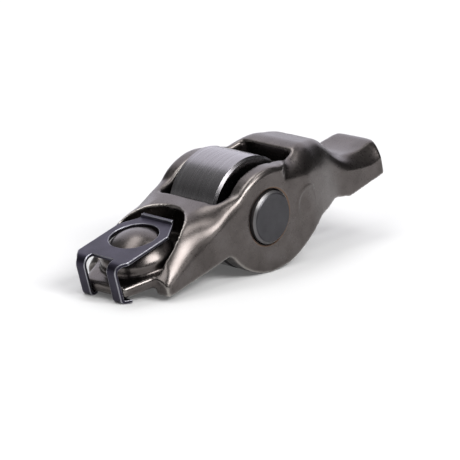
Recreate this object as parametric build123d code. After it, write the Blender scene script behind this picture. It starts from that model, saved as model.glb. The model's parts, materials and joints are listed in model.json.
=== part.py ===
from build123d import *
import os
from math import acos, asin, atan2, cos, degrees, hypot, pi, radians, sin, sqrt, tan

# Rocker arm of the roller finger follower kind, pressed from one sheet of steel.
# It is modelled with its web level, +X towards the valve end and Y across, and its
# origin is the centre of the roller's axis. At the end it is tipped about that axis
# to the slope at which it rests on its two curved lobes and the clip's feet. Millimetres.

# Roller bearing
roller_diameter = 17.0
roller_width = 9.2
roller_chamfer = 0.35
pin_diameter = 8.0
pin_stands_proud = 0.7
pin_chamfer = 0.45
needle_diameter = 1.6
needle_spacing = 0.05
needle_end_float = 0.3
running_clearance = 0.02
roller_gap = 0.4

# Sheet body
sheet_thickness = 2.9
arm_half_width = 8.3
channel_half_width = 5.6
web_top = 5.55
window_front = -8.0
window_rear = 10.2
window_rear_half_width = 4.95
window_corner = 0.9
ear_cut_start = 7.2
ear_cut_end = 8.2
lobe_below_roller = 0.5
lobe_centre_x = 1.75
lobe_centre_z = 2.8
lobe_rear_slope = 24.0
throat_rounding = 1.5
skirt_bottom = -5.75
skirt_rear = 17.0
skirt_rounding = 2.0
ear_rise = 1.7
ear_centre_x = 0.4
ear_radius = 9.5
ear_bend = 4.2
ear_rear = 8.1
ear_edge = 0.6
pin_hole_chamfer = 0.3

# Socket end
socket_offset = 19.6
ball_radius = 4.0
dome_wall = 2.4
dome_foot_radius = 5.5
floor_top = 0.9
floor_thickness = 1.85
pocket_half_length = 8.7
pocket_half_width = 6.2
step_start = 0.6
step_end = 1.6
tongue_front = -27.4
tongue_half_width = 4.0
tongue_root = -22.6
tongue_root_half_width = 5.9
tongue_corner = 0.8
tongue_edge = 0.4
flange_front = -22.6
flange_bottom = -2.1

# Valve end
hump_start = 13.0
hump_end = 18.5
pad_start = 20.8
pad_end = 30.3
pad_half_width = 5.5
pad_end_radius = 12.0
pad_top = -2.0
pad_bottom = -7.25
contact_place = 24.5
contact_height = -4.7
contact_radius = 14.0
guide_half_width = 3.1
guide_start = 17.5
guide_taper_start = 11.0
guide_rounding = 3.0
roof_fold_bottom = -0.8

# Clip
clip_sheet = 0.55
clip_half_width = 5.0
clip_hole_radius = 3.7
clip_back = -14.4
clip_back_half_width = 3.0
clip_taper_start = -17.6
clip_lip = 0.8
clip_slot_front = -26.2
clip_slot_half_width = 2.2
clip_leg_half_width = 3.95
clip_bow = 0.25
clip_bend = 1.2
clip_hook = 1.2
clip_gap = 0.03

far = 40.0
roller_radius = roller_diameter / 2
pin_radius = pin_diameter / 2
pitch_radius = pin_radius + needle_diameter / 2 + running_clearance
bore_radius = pitch_radius + needle_diameter / 2 + running_clearance
needle_count = int(pi / asin((needle_diameter + needle_spacing) / (2 * pitch_radius)))
dome_radius = ball_radius + dome_wall
lobe_radius = lobe_centre_z + roller_radius + lobe_below_roller
floor_bottom = floor_top - floor_thickness
web_bottom = web_top - sheet_thickness
ball_centre = (-socket_offset, 0, floor_bottom)
clip_under = floor_bottom + sqrt(dome_radius**2 - clip_hole_radius**2) + clip_gap


def across(x, half_width, crease, flat, top, fullness=0.55):
    """Outline of the pressed shell across the arm, at one place along it."""
    rise = fullness * (top - crease)
    run = fullness * (half_width - flat)
    plane = Plane(origin=(x, 0, 0), x_dir=(0, 1, 0), z_dir=(1, 0, 0))
    with BuildSketch(plane) as sketch:
        with BuildLine():
            Line((-half_width, -far / 2), (half_width, -far / 2))
            Line((half_width, -far / 2), (half_width, crease))
            Bezier((half_width, crease), (half_width, crease + rise), (flat + run, top), (flat, top))
            Line((flat, top), (-flat, top))
            Bezier((-flat, top), (-flat - run, top), (-half_width, crease + rise), (-half_width, crease))
            Line((-half_width, crease), (-half_width, -far / 2))
        make_face()
    return sketch.sketch.face()


def shell():
    """Outside of the pressing before its edges are trimmed."""
    w = arm_half_width
    p = pad_half_width
    top = web_top
    nose = -socket_offset
    hump = hump_end - hump_start
    neck = pad_start - hump_end
    pad = pad_end - pad_start
    sections = [
        across(1.22 * nose, 0.94 * w, -0.43 * top, 0.24 * w, 0.27 * top),
        across(1.02 * nose, w, -0.02 * top, 0.36 * w, 0.63 * top),
        across(0.89 * nose, w, 0.05 * top, 0.48 * w, 0.9 * top, 0.65),
        across(0.66 * nose, w, 0.31 * top, 0.54 * w, top, 0.75),
        across(0.46 * nose, w, 0.54 * top, 0.7 * w, top, 0.75),
        across(ear_centre_x, w, 0.6 * top, 0.74 * w, top, 0.7),
        across(hump_start - 0.65 * hump, 0.99 * w, 0.36 * top, 0.54 * w, top, 0.5),
        across(hump_start, 0.88 * w, 0.05 * top, 0.47 * w, top, 0.5),
        across(hump_start + 0.64 * hump, 0.73 * w, -0.22 * top, 0.38 * w, 0.76 * top),
        across(hump_end + 0.2 * neck, p, -0.47 * top, 0.44 * p, 0.36 * top),
        across(pad_start + 0.07 * pad, p, -0.61 * top, 0.47 * p, 0.35 * pad_top, 0.4),
        across(pad_start + 0.34 * pad, p, -0.72 * top, 0.62 * p, 0.9 * pad_top, 0.2),
        across(pad_start + 0.65 * pad, p, -0.83 * top, 0.67 * p, pad_top, 0.1),
        across(pad_end - 0.19 * pad, p, -0.79 * top, 0.64 * p, pad_top, 0.1),
        across(pad_end + 0.07 * pad, p, -0.79 * top, 0.51 * p, 1.75 * pad_top, 0.2),
    ]
    return loft(sections)


def ears():
    """Arched tops of the side walls beside the roller, with their sheared edges."""
    apex = (ear_centre_x, web_top + ear_rise)
    middle = apex[1] - ear_radius
    rise_at_bend = sqrt(ear_radius**2 - (ear_bend - ear_centre_x) ** 2)
    bend = (ear_bend, middle + rise_at_bend)
    foot = (ear_centre_x - sqrt(ear_radius**2 - middle**2), 0)
    with BuildSketch(Plane.XZ) as side:
        with BuildLine():
            ThreePointArc(foot, apex, bend)
            Polyline(bend, (ear_rear, web_top), (ear_rear, 0), foot)
        make_face()
    inner = channel_half_width - ear_edge
    shoulder = (0.55 * ear_rear + 0.45 * ear_bend, 0.6 * arm_half_width + 0.4 * inner)
    with BuildSketch(Plane.XY) as plan:
        with BuildLine():
            Polyline((ear_rear, inner), (-far, inner), (-far, far), (ear_bend, far), (ear_bend, arm_half_width))
            ThreePointArc((ear_bend, arm_half_width), shoulder, (ear_rear, inner))
        make_face()
        mirror(about=Plane.XZ)
    edge_start = arm_half_width - ear_edge
    edge = extrude(Pos(0, -edge_start, 0) * side.sketch, ear_edge, taper=45)
    walls = extrude(side.sketch, edge_start, both=True) + edge + mirror(edge, about=Plane.XZ)
    return walls & extrude(plan.sketch, far, both=True)


def side_outline():
    """Trimmed edge of the side walls, seen from the side."""
    rear = radians(lobe_rear_slope)
    drop = lobe_centre_z - flange_bottom
    throat = (lobe_centre_x - sqrt(lobe_radius**2 - drop**2), flange_bottom)
    lowest = (lobe_centre_x, lobe_centre_z - lobe_radius)
    lobe_end = (lobe_centre_x + lobe_radius * sin(rear), lobe_centre_z - lobe_radius * cos(rear))
    skirt_start = (lobe_end[0] + (skirt_bottom - lobe_end[1]) / tan(rear), skirt_bottom)
    skirt_end = (skirt_rear, skirt_bottom)
    pad_front = (pad_start, pad_bottom)
    with BuildSketch(Plane.XZ) as sketch:
        with BuildLine():
            Line((flange_front, far / 2), (flange_front, flange_bottom))
            Line((flange_front, flange_bottom), throat)
            ThreePointArc(throat, lowest, lobe_end)
            Polyline(
                lobe_end,
                skirt_start,
                skirt_end,
                pad_front,
                (far, pad_bottom),
                (far, far / 2),
                (flange_front, far / 2),
            )
        make_face()
        fillet(sketch.vertices().sort_by_distance(throat)[0], throat_rounding)
        for corner in (skirt_start, skirt_end, pad_front):
            fillet(sketch.vertices().sort_by_distance(corner)[0], skirt_rounding)
    return extrude(sketch.sketch, arm_half_width, both=True)


def tip_outline():
    """Rounded end of the pad, seen from above."""
    centre = pad_end - pad_end_radius
    with BuildSketch(Plane.XY) as sketch:
        with Locations((centre, 0)):
            Circle(pad_end_radius)
        with Locations((centre - far, 0)):
            Rectangle(2 * far, far)
    return extrude(sketch.sketch, far, both=True)


def tongue():
    """Flat front of the socket floor, which the clip's legs reach under."""
    points = [
        (tongue_front, -tongue_half_width),
        (tongue_root, -tongue_root_half_width),
        (-socket_offset, -tongue_root_half_width),
        (-socket_offset, tongue_root_half_width),
        (tongue_root, tongue_root_half_width),
        (tongue_front, tongue_half_width),
    ]
    with BuildSketch(Plane.XY.offset(floor_bottom)) as sketch:
        Polygon(*points, align=None)
        fillet(sketch.vertices().group_by(Axis.X)[0], tongue_corner)
    plate = extrude(sketch.sketch, floor_thickness)
    front = plate.edges().filter_by_position(Axis.X, tongue_front - 1, tongue_front + 0.1)
    return chamfer(front.filter_by(Axis.Y), tongue_edge)


def hollow():
    """Space between the side walls, under the floor, the web and the pad."""
    back_wall = -socket_offset + pocket_half_length
    contact_top = contact_height + contact_radius
    start_drop = sqrt(contact_radius**2 - (hump_end - contact_place) ** 2)
    beyond = pad_end + sheet_thickness
    end_drop = sqrt(contact_radius**2 - (beyond - contact_place) ** 2)
    contact_start = (hump_end, contact_top - start_drop)
    contact_end = (beyond, contact_top - end_drop)
    with BuildSketch(Plane.XZ) as side:
        with BuildLine():
            Polyline(
                (-far, floor_bottom),
                (back_wall - step_start, floor_bottom),
                (back_wall + step_end, web_bottom),
                (hump_start, web_bottom),
                (skirt_rear, roof_fold_bottom),
                contact_start,
            )
            ThreePointArc(contact_start, (contact_place, contact_height), contact_end)
            Polyline(contact_end, (beyond, -far), (-far, -far), (-far, floor_bottom))
        make_face()
    with BuildSketch(Plane.XY) as plan:
        Polygon(
            (-far, -channel_half_width),
            (guide_taper_start, -channel_half_width),
            (guide_start, -guide_half_width),
            (far, -guide_half_width),
            (far, guide_half_width),
            (guide_start, guide_half_width),
            (guide_taper_start, channel_half_width),
            (-far, channel_half_width),
            align=None,
        )
        fillet([v for v in plan.vertices() if abs(v.X) < far / 2], guide_rounding)
    return extrude(side.sketch, far, both=True) & extrude(plan.sketch, far, both=True)


def window():
    """Opening in the web and between the ears that the roller stands through."""
    points = [
        (window_front, -channel_half_width),
        (ear_cut_start, -channel_half_width),
        (ear_cut_end, -window_rear_half_width),
        (window_rear, -window_rear_half_width),
        (window_rear, window_rear_half_width),
        (ear_cut_end, window_rear_half_width),
        (ear_cut_start, channel_half_width),
        (window_front, channel_half_width),
    ]
    with BuildSketch(Plane.XY) as sketch:
        Polygon(*points, align=None)
        ends = sketch.vertices().group_by(Axis.X)
        fillet(ends[0] + ends[-1], window_corner)
    return extrude(sketch.sketch, far)


def pocket():
    """Recess round the dome, open to the front."""
    with BuildSketch(Plane.XY.offset(floor_top)) as sketch:
        with Locations((-socket_offset, 0)):
            Ellipse(pocket_half_length, pocket_half_width)
    return extrude(sketch.sketch, far)


def dome():
    """Cup pressed up out of the floor, for the pivot's ball."""
    foot = Pos(-socket_offset, 0, floor_bottom) * Cylinder(
        dome_foot_radius, far, align=(Align.CENTER, Align.CENTER, Align.MIN)
    )
    return Pos(*ball_centre) * Rot(90, 0, 0) * Sphere(dome_radius) & foot


def arm():
    """The one-piece sheet body."""
    body = ((shell() + ears()) & side_outline() & tip_outline()) + tongue()
    body -= pocket()
    body -= hollow()
    body -= window()
    body -= Rot(90, 0, 0) * Cylinder(roller_radius + roller_gap, 2 * channel_half_width)
    body += dome()
    body -= Pos(*ball_centre) * Sphere(ball_radius)
    body -= Rot(90, 0, 0) * Cylinder(pin_radius, far)
    flare = Cone(pin_radius, pin_radius + pin_hole_chamfer, pin_hole_chamfer)
    for side in (-1, 1):
        place = side * (arm_half_width - pin_hole_chamfer / 2)
        body -= Pos(0, place, 0) * Rot(-90 * side, 0, 0) * flare
    return body


def roller():
    """Ring that the cam runs on."""
    ring = Cylinder(roller_radius, roller_width) - Cylinder(bore_radius, roller_width)
    rims = ring.edges().filter_by(GeomType.CIRCLE).group_by(SortBy.RADIUS)[-1]
    return Rot(90, 0, 0) * chamfer(rims, roller_chamfer)


def axle_pin():
    """Pin pressed into both side walls."""
    pin = Cylinder(pin_radius, 2 * (arm_half_width + pin_stands_proud))
    return Rot(90, 0, 0) * chamfer(pin.edges().filter_by(GeomType.CIRCLE), pin_chamfer)


def needle(index):
    """One roller of the full complement between the pin and the ring."""
    roll = Cylinder(needle_diameter / 2, roller_width - needle_end_float)
    return Rot(0, index * 360 / needle_count, 0) * Pos(pitch_radius, 0, 0) * Rot(90, 0, 0) * roll


def socket_clip():
    """Spring clip that sits round the dome and hooks under the tongue."""
    middle = clip_under + clip_sheet / 2
    foot_x = tongue_front - clip_gap - clip_sheet / 2
    foot_z = floor_bottom - clip_gap - clip_sheet / 2
    with BuildSketch(Plane.XZ) as strip:
        with BuildLine():
            FilletPolyline(
                (clip_back, middle + clip_lip),
                (clip_back, middle),
                (foot_x - clip_bow, middle),
                (foot_x, foot_z),
                (foot_x + clip_hook, foot_z),
                radius=[clip_sheet, clip_bend, clip_sheet],
            )
        trace(line_width=clip_sheet)
    with BuildSketch(Plane.XY) as plan:
        Polygon(
            (foot_x - far, -clip_leg_half_width),
            (foot_x, -clip_leg_half_width),
            (clip_slot_front, -clip_half_width),
            (clip_taper_start, -clip_half_width),
            (clip_back, -clip_back_half_width),
            (0, -clip_back_half_width),
            (0, clip_back_half_width),
            (clip_back, clip_back_half_width),
            (clip_taper_start, clip_half_width),
            (clip_slot_front, clip_half_width),
            (foot_x, clip_leg_half_width),
            (foot_x - far, clip_leg_half_width),
            align=None,
        )
        with Locations((-socket_offset, 0)):
            Circle(clip_hole_radius, mode=Mode.SUBTRACT)
    slot = Pos(clip_slot_front, 0, 0) * Box(
        far, 2 * clip_slot_half_width, far, align=(Align.MAX, Align.CENTER, Align.CENTER)
    )
    clip = extrude(strip.sketch, far / 2, both=True) & extrude(plan.sketch, far, both=True)
    return clip - slot


def resting_slope():
    """Angle in degrees at which the lobes and the bends of the clip's feet touch one plane."""
    bend_x = tongue_front - clip_gap - clip_sheet / 2 + clip_sheet
    bend_z = floor_bottom - clip_gap - clip_sheet / 2 + clip_sheet
    bend_radius = 1.5 * clip_sheet
    along = lobe_centre_x - bend_x
    up = lobe_centre_z - bend_z
    return degrees(atan2(along, up) - acos((lobe_radius - bend_radius) / hypot(along, up)))


parts = {"arm": arm(), "roller": roller(), "axle_pin": axle_pin(), "socket_clip": socket_clip()}
for index in range(needle_count):
    parts[f"needle_{index + 1:02d}"] = needle(index)

rest_pitch = resting_slope()
rest = Rot(0, -rest_pitch, 0)

os.makedirs("parts", exist_ok=True)
for name, piece in parts.items():
    export_step(rest * piece, f"parts/{name}.step")
print("Resting slope in degrees:", round(rest_pitch, 2))
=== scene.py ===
"""Looks of a pressed steel rocker arm with a needle-bearing roller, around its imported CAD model."""

import json
import math

import bpy
from mathutils import Matrix, Vector, noise


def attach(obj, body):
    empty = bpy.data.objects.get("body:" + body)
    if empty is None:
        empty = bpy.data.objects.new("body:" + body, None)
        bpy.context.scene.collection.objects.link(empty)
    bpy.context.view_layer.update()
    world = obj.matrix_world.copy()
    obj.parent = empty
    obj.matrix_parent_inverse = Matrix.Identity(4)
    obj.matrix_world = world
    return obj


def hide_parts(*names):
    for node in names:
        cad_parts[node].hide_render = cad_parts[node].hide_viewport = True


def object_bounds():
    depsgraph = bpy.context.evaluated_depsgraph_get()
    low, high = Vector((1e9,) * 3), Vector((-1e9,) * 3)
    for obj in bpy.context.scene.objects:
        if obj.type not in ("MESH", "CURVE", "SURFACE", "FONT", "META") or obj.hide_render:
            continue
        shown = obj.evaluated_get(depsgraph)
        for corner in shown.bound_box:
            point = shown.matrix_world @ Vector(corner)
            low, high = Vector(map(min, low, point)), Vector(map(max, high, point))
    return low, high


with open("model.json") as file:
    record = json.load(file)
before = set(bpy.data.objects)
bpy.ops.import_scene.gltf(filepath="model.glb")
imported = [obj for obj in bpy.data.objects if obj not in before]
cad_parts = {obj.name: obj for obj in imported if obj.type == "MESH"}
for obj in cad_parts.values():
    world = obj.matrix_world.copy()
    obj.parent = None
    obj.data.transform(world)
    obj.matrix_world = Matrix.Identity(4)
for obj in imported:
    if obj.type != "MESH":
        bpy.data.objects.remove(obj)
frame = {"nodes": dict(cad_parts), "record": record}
cad_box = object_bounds()
nodes = frame["nodes"]

# The photograph's view of an arm that rests at the slope seen there.
CAMERA_AZIMUTH = -47.7
CAMERA_ELEVATION = 16.1
CAMERA_DISTANCE = 0.45
CAMERA_TARGET = Vector((0.0004, 0.0, -0.0037))
CAMERA_LENS_MM = 236.0
CAMERA_CLIP = 0.01
SENSOR_MM = 36.0
# The model rests this much more nose-down, in degrees, so the camera is turned by as much.
MORE_SLOPE = 0.83

# How far the softboxes stand from the object, in metres.
LIGHT_DISTANCE = 0.9
# The room's palest side, as azimuth and elevation, and how far off it paleness starts, as a cosine.
PALE_SIDE = (160, 60)
PALE_START = 0.4
ROOM_DARK = 0.06
ROOM_PALE = 0.3
FLOOR_SIZE = 6
FLOOR_GREY = 0.54
# Light that the floor adds of its own near the object and far from it, and where near ends and far begins.
FLOOR_LIFT = (0.09, 0.4)
FLOOR_LIFT_REACH = (0.03, 0.4)

# Mesh sizes in metres, passes of rounding over them, and how far each pass goes.
ARM_VOXEL = 0.00021
ARM_ROUNDING_PASSES = 9
CLIP_VOXEL = 0.00009
CLIP_ROUNDING_PASSES = 8
STAND_OUT_PASSES = 15
SMOOTHING = 0.5
WELD_REACH = 1e-6
# Unevenness of the pressed sheet in metres: depth, size, and the part of the depth by which it is sunk.
UNEVEN_DEPTH = 0.00005
UNEVEN_SIZE = 0.003
UNEVEN_SINK = 0.3

# Where the roller's chamfer starts, in metres from the arm's middle plane.
ROLLER_RIM = 0.00427
# Rings round the pin's axis, as inner and outer radius in metres: the pin's chamfer, painted lighter as its
# highlight, and the arm's stain.
PIN_HIGHLIGHT_RING = (0.0037, 0.0041)
PIN_STAIN = (0.0043, 0.0045)

# The arm's slope at rest in degrees. The sizes below are in mm in the arm's own frame, with its web level.
SLOPE = 15.23
TO_ARM = Matrix.Rotation(math.radians(SLOPE), 3, "Y")
TO_REST = TO_ARM.transposed()
MM_IN_METRE = 1000
HALF_WIDTH = 8.3
# The shoulders stop at the pocket and at the dome in it.
POCKET_HALF_WIDTH = 4.2
DOME_X = -19.6
DOME_REACH = 5.85
EAR_CENTRE_X = 0.4
EAR_TOP = 7.25
EAR_RADIUS = 9.5
EAR_INSIDE = 5.0
# Sections of the rolled shoulder beside the socket, one at each step along the arm: how far from the middle
# it starts to fall, its height at the arm's side, its height where it starts, and how square the fall is.
SHOULDER_START = -26.0
SHOULDER_STEP = 2.0
SHOULDER_FLAT = [4.0, 3.2, 2.9, 3.2, 3.8, 4.1, 4.0, 3.2, 2.9, 4.7, 6.0, 6.4, 6.6]
SHOULDER_FOOT = [-2.4, -2.2, -1.1, -0.1, 0.25, 0.65, 1.3, 2.0, 2.7, 3.1, 3.3, 3.33, 3.33]
SHOULDER_TOP = [3.0, 2.2, 2.6, 3.5, 4.7, 5.3, 5.5] + [5.6] * 6
SHOULDER_POWER = [1.7] * 8 + [1.8, 2.0, 2.6, 4.0, 5.0]
# Where the ear's two ends run out into the body: middles (x, z), reach and passes of rounding.
SADDLES = [(-6.2, 4.4), (8.2, 4.0)]
SADDLE_REACH = 2.2
SADDLE_PASSES = 110
# Arched mark in each side behind the pin: middle (x, z), radius, height of its lip and depth inside it.
MARK = (8.6, -1.7)
MARK_RADIUS = 2.4
MARK_LIP = 0.1
MARK_DEPTH = 0.06
MARK_LIP_HALF_WIDTH = 0.35
# How far below its middle the mark has faded out, in radii, and how far in from the arm's side it reaches.
MARK_FADE = 0.6
MARK_SIDE = 0.3

# Sockets of a node that mixes colours.
MIX_AMOUNT, MIX_FIRST, MIX_SECOND = 0, 6, 7
MIX_RESULT = 2


def direction(azimuth, elevation):
    """Unit vector from the object towards a place given as azimuth and elevation in degrees."""
    a = math.radians(azimuth)
    e = math.radians(elevation)
    return Vector((math.sin(a) * math.cos(e), -math.cos(a) * math.cos(e), math.sin(e)))


def rgba(colour):
    """Opaque colour with four values, from one with three or from a grey."""
    return (*colour, 1.0) if isinstance(colour, tuple) else (colour, colour, colour, 1.0)


class Nodes:
    """A node tree under construction."""

    def __init__(self, tree):
        self.tree = tree

    def node(self, kind, inputs=None, **settings):
        """New node with its settings, and with its inputs by name or number."""
        made = self.tree.nodes.new("ShaderNode" + kind)
        for key, value in settings.items():
            setattr(made, key, value)
        for key, value in (inputs or {}).items():
            self.put(made.inputs[key], value)
        return made

    def put(self, socket, value):
        """Another node's output linked to a socket, or a value set in it."""
        if isinstance(value, bpy.types.NodeSocket):
            self.tree.links.new(value, socket)
        else:
            socket.default_value = rgba(value) if socket.type == "RGBA" else value

    def calculated(self, operation, *values):
        """Result of a sum or comparison of numbers and outputs."""
        inputs = dict(enumerate(values))
        return self.node("Math", inputs, operation=operation).outputs["Value"]

    def length(self, vector):
        """Length of a vector output."""
        return self.node("VectorMath", {0: vector}, operation="LENGTH").outputs["Value"]


class Material(Nodes):
    """A metal under construction, with short calls for the nodes that are used often."""

    def __init__(self, name):
        self.material = bpy.data.materials.new(name)
        self.material.use_nodes = True
        super().__init__(self.material.node_tree)
        self.shader = self.tree.nodes["Principled BSDF"].inputs
        self.put(self.shader["Metallic"], 1.0)
        self.place = self.node("TexCoord").outputs["Object"]

    def stretched(self, scale):
        """The object's coordinates, stretched by a scale along each axis."""
        return self.node("Mapping", {"Vector": self.place, "Scale": scale}).outputs["Vector"]

    def noise(self, scale, detail, roughness=0.55, vector=None):
        """Noise with features 1/scale metres in size, from 0 to 1."""
        inputs = {"Vector": vector or self.place, "Scale": scale, "Detail": detail, "Roughness": roughness}
        return self.node("TexNoise", inputs).outputs["Fac"]

    def ramp(self, value, *stops):
        """Value turned into a colour, or a grey, by stops of (place, colour)."""
        ramp = self.node("ValToRGB", {"Fac": value})
        elements = ramp.color_ramp.elements
        while len(elements) < len(stops):
            elements.new(0.5)
        for element, (place, colour) in zip(elements, stops):
            element.position = place
            element.color = rgba(colour)
        return ramp.outputs["Color"]

    def mix(self, amount, first, second):
        """Two colours mixed by an amount."""
        inputs = {MIX_AMOUNT: amount, MIX_FIRST: first, MIX_SECOND: second}
        return self.node("Mix", inputs, data_type="RGBA").outputs[MIX_RESULT]

    def ring(self, inner, outer):
        """Mask that is 1 between two distances in metres from the pin's axis."""
        away = self.length(self.stretched((1, 0, 1)))
        return self.calculated("COMPARE", away, (inner + outer) / 2, (outer - inner) / 2)

    def beyond(self, distance):
        """Mask that is 1 further than a distance in metres from the arm's middle plane."""
        return self.calculated("GREATER_THAN", self.length(self.stretched((0, 1, 0))), distance)

    def edges(self, low, high):
        """Mask that grows from 0 to 1 as the surface stands out further, along edges and crests, where wear
        and painted highlights are put.
        """
        standing_out = self.node("Attribute", attribute_name="standing_out").outputs["Fac"]
        return self.ramp(standing_out, (low, 0.0), (high, 1.0))

    def bump(self, height, distance, strength, after=None):
        """Normal bent by a height, on top of an earlier bump where there is one."""
        inputs = {"Height": height, "Distance": distance, "Strength": strength}
        if after:
            inputs["Normal"] = after
        return self.node("Bump", inputs).outputs["Normal"]

    def finish(self, colour, roughness, normal=None):
        """The material, with its colour, roughness and bump joined to its shader."""
        self.put(self.shader["Base Color"], colour)
        self.put(self.shader["Roughness"], roughness)
        if normal:
            self.put(self.shader["Normal"], normal)
        return self.material


def arm_steel():
    """Dark satin steel of a pressed and heat-treated body, lighter along its edges and crests, as wear and
    as a painted highlight.
    """
    m = Material("arm_steel")
    dark, middle, light = (0.072, 0.063, 0.06), (0.096, 0.085, 0.081), (0.118, 0.107, 0.105)
    grain = m.noise(2600, 5, 0.65)
    fine = m.noise(9000, 3, 0.6)
    colour = m.ramp(m.noise(260, 4), (0.32, dark), (0.55, middle), (0.75, light))
    colour = m.mix(m.ramp(grain, (0.35, 0.0), (0.7, 0.15)), colour, (0.16, 0.145, 0.135))
    # Edges and crests painted a little lighter: partly wear, partly a painted highlight where the rolled
    # crests catch the lamps.
    colour = m.mix(m.edges(0.06, 0.3), colour, (0.17, 0.155, 0.147))
    # Sharp edges painted much lighter: partly bare worn steel, partly a painted highlight line.
    colour = m.mix(m.edges(0.17, 0.37), colour, (0.34, 0.32, 0.3))
    colour = m.mix(m.ring(*PIN_STAIN), colour, (0.13, 0.085, 0.06))
    roughness = m.ramp(grain, (0.3, 0.26), (0.75, 0.33))
    coarse_bump = m.bump(grain, 0.000008, 0.15)
    return m.finish(colour, roughness, m.bump(fine, 0.000002, 0.25, after=coarse_bump))


def roller_steel():
    """Bright steel with fine grinding lines that run round the roller."""
    m = Material("roller_steel")
    lines = m.noise(1.0, 5, 0.7, m.stretched((60, 9000, 60)))
    bands = m.noise(1.0, 2, 0.5, m.stretched((20, 1400, 20)))
    colour = m.mix(m.ramp(bands, (0.35, 0.0), (0.65, 1.0)), (0.22, 0.212, 0.22), (0.28, 0.272, 0.28))
    colour = m.mix(m.beyond(ROLLER_RIM), colour, (0.11, 0.105, 0.11))
    roughness = m.ramp(lines, (0.3, 0.2), (0.7, 0.3))
    tangent = m.node("Tangent", direction_type="RADIAL", axis="Y").outputs["Tangent"]
    m.put(m.shader["Tangent"], tangent)
    m.put(m.shader["Anisotropic"], 0.5)
    return m.finish(colour, roughness, m.bump(lines, 0.0000015, 0.5))


def pin_steel():
    """Dark flat end face of the pin, with its chamfer painted lighter as a painted highlight."""
    m = Material("pin_steel")
    grain = m.noise(5000, 4, 0.6)
    colour = m.ramp(m.noise(500, 4), (0.3, (0.055, 0.054, 0.058)), (0.7, (0.07, 0.069, 0.074)))
    # The chamfer ring painted lighter all round, as a painted highlight.
    colour = m.mix(m.ring(*PIN_HIGHLIGHT_RING), colour, (0.15, 0.147, 0.15))
    roughness = m.ramp(grain, (0.3, 0.36), (0.7, 0.5))
    return m.finish(colour, roughness, m.bump(grain, 0.000008, 0.4))


def clip_steel():
    """Blued spring steel, with its sheared edges painted bright as bare metal and as a painted highlight.
    """
    m = Material("clip_steel")
    grain = m.noise(6000, 4, 0.6)
    colour = m.ramp(m.noise(380, 4), (0.3, (0.025, 0.023, 0.034)), (0.7, (0.041, 0.037, 0.054)))
    # Sheared edges painted bright: partly bare metal, partly a painted highlight.
    colour = m.mix(m.edges(0.12, 0.34), colour, (0.34, 0.34, 0.37))
    roughness = m.ramp(grain, (0.3, 0.33), (0.7, 0.46))
    return m.finish(colour, roughness, m.bump(grain, 0.000006, 0.4))


def needle_steel():
    """Polished bearing rollers."""
    m = Material("needle_steel")
    grain = m.noise(4000, 3)
    colour = m.ramp(grain, (0.3, (0.5, 0.5, 0.51)), (0.7, (0.6, 0.6, 0.61)))
    return m.finish(colour, m.ramp(grain, (0.3, 0.14), (0.7, 0.22)))


def dress(obj, material):
    """The object's only material."""
    obj.data.materials.clear()
    obj.data.materials.append(material)


def evaluated(piece, *modifiers):
    """The piece's mesh after a row of modifiers, each given as (kind, settings)."""
    for kind, settings in modifiers:
        modifier = piece.modifiers.new(kind.lower(), kind)
        for key, value in settings.items():
            setattr(modifier, key, value)
    depsgraph = bpy.context.evaluated_depsgraph_get()
    mesh = bpy.data.meshes.new_from_object(piece.evaluated_get(depsgraph))
    piece.modifiers.clear()
    piece.data = mesh
    return mesh


def remesh(piece, voxel):
    """Even mesh over the piece's surface."""
    even = {"mode": "VOXEL", "voxel_size": voxel, "use_smooth_shade": True}
    evaluated(piece, ("WELD", {"merge_threshold": WELD_REACH}), ("REMESH", even))


def smooth(piece, passes, group=""):
    """Rounded mesh of the piece, all over or where its vertex group says."""
    settings = {"factor": SMOOTHING, "iterations": passes, "vertex_group": group}
    return evaluated(piece, ("SMOOTH", settings))


def even_copy(node, name, voxel):
    """Copy of a node with an even mesh, to be shaped further."""
    piece = bpy.data.objects.new(name, nodes[node].data.copy())
    bpy.context.scene.collection.objects.link(piece)
    remesh(piece, voxel)
    return piece


def round_edges(piece, voxel, passes):
    """Edges rounded as pressing and tumbling round them."""
    smooth(piece, passes).shade_smooth()
    stand_out(piece, voxel)


def stand_out(piece, voxel):
    """Attribute with how far, in voxels, each place stands out of the surface round it."""
    mesh = piece.data
    smoother = smooth(piece, STAND_OUT_PASSES)
    pairs = zip(mesh.vertices, smoother.vertices)
    values = [vertex.normal.dot(vertex.co - other.co) / voxel for vertex, other in pairs]
    piece.data = mesh
    bpy.data.meshes.remove(smoother)
    mesh.attributes.new("standing_out", "FLOAT", "POINT").data.foreach_set("value", values)


def in_arm(place):
    """Place in mm in the arm's own frame."""
    return TO_ARM @ place * MM_IN_METRE


def along(values, x):
    """Smooth curve, a cubic B-spline, through a row of the shoulder's sizes, at x along the arm."""
    place = min(max((x - SHOULDER_START) / SHOULDER_STEP, 0.0), len(values) - 1.0)
    total = 0.0
    for i in range(math.floor(place) - 1, math.floor(place) + 3):
        away = abs(place - i)
        share = (4 - 6 * away**2 + 3 * away**3) / 6 if away < 1 else (2 - away) ** 3 / 6
        total += share * values[min(max(i, 0), len(values) - 1)]
    return total


def shoulder_height(x, y):
    """Height of the rolled shoulder, or of the ear above it where that is higher."""
    rows = (SHOULDER_FLAT, SHOULDER_FOOT, SHOULDER_TOP, SHOULDER_POWER)
    flat, foot, top, power = (along(row, x) for row in rows)
    share = min(max((abs(y) - flat) / (HALF_WIDTH - flat), 0.0), 1.0)
    height = foot + (top - foot) * (1 - share**power) ** (1 / power)
    reach = EAR_RADIUS**2 - (x - EAR_CENTRE_X) ** 2
    if abs(y) > EAR_INSIDE and reach > 0:
        height = max(height, EAR_TOP - EAR_RADIUS + math.sqrt(reach))
    return height


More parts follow.
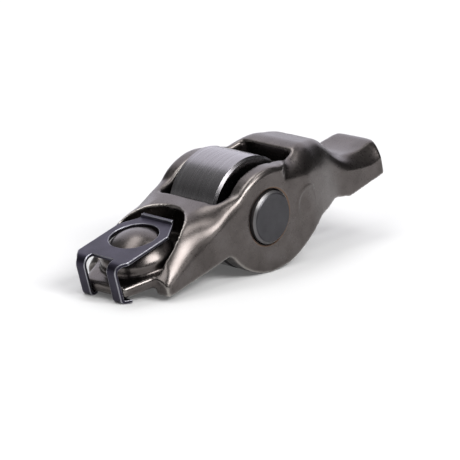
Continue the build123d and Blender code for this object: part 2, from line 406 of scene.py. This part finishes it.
def roll_shoulders(piece):
    """The body's shoulders rolled down beside the socket."""
    end = SHOULDER_START + SHOULDER_STEP * (len(SHOULDER_FLAT) - 1)
    for vertex in piece.data.vertices:
        x, y, z = place = in_arm(vertex.co)
        if x < end and abs(y) > POCKET_HALF_WIDTH and math.hypot(x - DOME_X, y) > DOME_REACH:
            place.z = min(z, shoulder_height(x, y))
            vertex.co = TO_REST @ place / MM_IN_METRE


def saddle_group(piece):
    """Name of a new vertex group round both ends of the ears."""
    group = piece.vertex_groups.new(name="saddle")
    for vertex in piece.data.vertices:
        x, y, z = in_arm(vertex.co)
        if abs(y) > POCKET_HALF_WIDTH:
            away = min(math.hypot(x - middle[0], z - middle[1]) for middle in SADDLES)
            share = away / SADDLE_REACH
            if share < 2:
                group.add([vertex.index], math.exp(-(share**2)), "REPLACE")
    return group.name


def mark_height(x, y, z):
    """Height in mm of the arched mark's lip, or depth inside it, at a place in the arm's own frame."""
    away = math.hypot(x - MARK[0], z - MARK[1])
    if abs(y) < HALF_WIDTH - MARK_SIDE or away > 2 * MARK_RADIUS:
        return 0.0
    arch = min(max((z - MARK[1]) / MARK_RADIUS + MARK_FADE, 0.0), 1.0)
    lip = math.exp(-(((away - MARK_RADIUS) / MARK_LIP_HALF_WIDTH) ** 2))
    inside = min(max((MARK_RADIUS - away) / MARK_LIP_HALF_WIDTH, 0.0), 1.0)
    return arch * (MARK_LIP * lip - MARK_DEPTH * inside)


def press_marks(piece):
    """Shallow unevenness that the press leaves in the sheet, and the arched marks."""
    vertices = piece.data.vertices
    normals = [vertex.normal.copy() for vertex in vertices]
    for vertex, normal in zip(vertices, normals):
        unevenness = UNEVEN_DEPTH * (noise.noise(vertex.co / UNEVEN_SIZE) - UNEVEN_SINK)
        vertex.co += normal * (unevenness + mark_height(*in_arm(vertex.co)) / MM_IN_METRE)


def put_in_place(piece, node, body, material):
    """The piece dressed, and riding in a node's place."""
    dress(piece, material)
    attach(piece, body)
    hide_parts(node)


def make_arm():
    """The pressed body, rolled and rounded, its edges painted lighter as wear and as a painted highlight,
    in place of its plain solid.
    """
    arm = even_copy("arm", "arm_surface", ARM_VOXEL)
    roll_shoulders(arm)
    remesh(arm, ARM_VOXEL)
    smooth(arm, SADDLE_PASSES, saddle_group(arm))
    round_edges(arm, ARM_VOXEL, ARM_ROUNDING_PASSES)
    press_marks(arm)
    put_in_place(arm, "arm", "arm_body", arm_steel())


def make_clip():
    """The spring clip with rounded edges, in place of its plain solid."""
    clip = even_copy("socket_clip", "clip_surface", CLIP_VOXEL)
    round_edges(clip, CLIP_VOXEL, CLIP_ROUNDING_PASSES)
    put_in_place(clip, "socket_clip", "arm_body", clip_steel())


def dress_bearing():
    """Steel for the roller, the pin and the needles, which keep their plain solids."""
    dress(nodes["roller"], roller_steel())
    dress(nodes["axle_pin"], pin_steel())
    needle = needle_steel()
    for name in frame["record"]["behaviour"]["bodies"]["needle_set"]:
        dress(nodes[name], needle)


def softbox(name, azimuth, elevation, size, radiance, colour=(1, 1, 1)):
    """Area light that faces the object, of a width and height in metres."""
    light = bpy.data.lights.new(name, "AREA")
    light.shape = "RECTANGLE"
    light.size, light.size_y = size
    light.energy = radiance * math.pi * size[0] * size[1]
    light.color = colour
    lamp = bpy.data.objects.new(name, light)
    bpy.context.scene.collection.objects.link(lamp)
    away = direction(azimuth, elevation)
    lamp.location = away * LIGHT_DISTANCE
    lamp.rotation_euler = away.to_track_quat("Z", "Y").to_euler()


def make_lights():
    """Two softboxes on the near side, two overhead, and the rest round the object."""
    softbox("key", -5, 42, (0.6, 0.36), 14.0)
    softbox("low", 14, 12, (0.3, 0.25), 2.4)
    softbox("behind", 130, 32, (1.15, 0.95), 1.35, (0.91, 0.89, 1.0))
    softbox("top", -165, 72, (0.7, 0.32), 5.5)
    softbox("crest", 42, 70, (0.4, 0.2), 6.0)
    softbox("left", -82, 46, (0.3, 0.3), 5.0)
    softbox("behind_low", -145, 10, (0.5, 0.25), 0.35)


def make_camera():
    """Camera at the photograph's place, with the model's slope allowed for."""
    camera = bpy.data.cameras.new("camera")
    camera.sensor_width = SENSOR_MM
    camera.lens = CAMERA_LENS_MM
    camera.clip_start = CAMERA_CLIP
    viewer = bpy.data.objects.new("camera", camera)
    bpy.context.scene.collection.objects.link(viewer)
    back = direction(CAMERA_AZIMUTH, CAMERA_ELEVATION)
    turn = back.to_track_quat("Z", "Y").to_matrix().to_4x4()
    place = Matrix.Translation(CAMERA_TARGET + back * CAMERA_DISTANCE) @ turn
    viewer.matrix_world = Matrix.Rotation(math.radians(-MORE_SLOPE), 4, "Y") @ place
    bpy.context.scene.camera = viewer


def make_floor():
    """Pale floor, lifted to white where no shadow falls on it, also as metal mirrors it."""
    bpy.ops.mesh.primitive_plane_add(size=FLOOR_SIZE, location=(0, 0, cad_box[0].z))
    floor = bpy.context.object
    floor.name = "floor"
    material = bpy.data.materials.new("floor")
    material.use_nodes = True
    material.node_tree.nodes.clear()
    n = Nodes(material.node_tree)
    away = n.length(n.node("TexCoord").outputs["Object"])
    reach = {"From Min": FLOOR_LIFT_REACH[0], "From Max": FLOOR_LIFT_REACH[1]}
    lift = {"To Min": FLOOR_LIFT[0], "To Max": FLOOR_LIFT[1]}
    growth = n.node("MapRange", {"Value": away, **reach, **lift}).outputs["Result"]
    rays = n.node("LightPath").outputs
    seen = n.calculated("MAXIMUM", rays["Is Camera Ray"], rays["Is Glossy Ray"])
    seen = n.calculated("MAXIMUM", seen, rays["Is Transmission Ray"])
    glow = n.node("Emission", {"Strength": n.calculated("MULTIPLY", seen, growth)}).outputs[0]
    diffuse = n.node("BsdfDiffuse", {"Color": FLOOR_GREY}).outputs[0]
    both = n.node("AddShader", {0: diffuse, 1: glow}).outputs[0]
    n.node("OutputMaterial", {"Surface": both})
    dress(floor, material)


def make_world():
    """White to the camera. To the rest, a grey room that is paler overhead and behind the object."""
    world = bpy.data.worlds.new("world")
    bpy.context.scene.world = world
    world.use_nodes = True
    n = Nodes(world.node_tree)
    sides = {0: n.node("TexCoord").outputs["Generated"], 1: direction(*PALE_SIDE)}
    facing = n.node("VectorMath", sides, operation="DOT_PRODUCT").outputs["Value"]
    greys = {"From Min": PALE_START, "To Min": ROOM_DARK, "To Max": ROOM_PALE}
    room = n.node("MapRange", {"Value": facing, **greys}, interpolation_type="SMOOTHSTEP").outputs["Result"]
    camera_ray = n.node("LightPath").outputs["Is Camera Ray"]
    strength = n.node("MapRange", {"Value": camera_ray, "To Min": room, "To Max": 1.0}).outputs["Result"]
    background = n.tree.nodes["Background"].inputs
    n.put(background["Color"], 1.0)
    n.put(background["Strength"], strength)


make_arm()
make_clip()
dress_bearing()
make_camera()
make_floor()
make_world()
make_lights()
bpy.context.scene.view_settings.view_transform = "Standard"
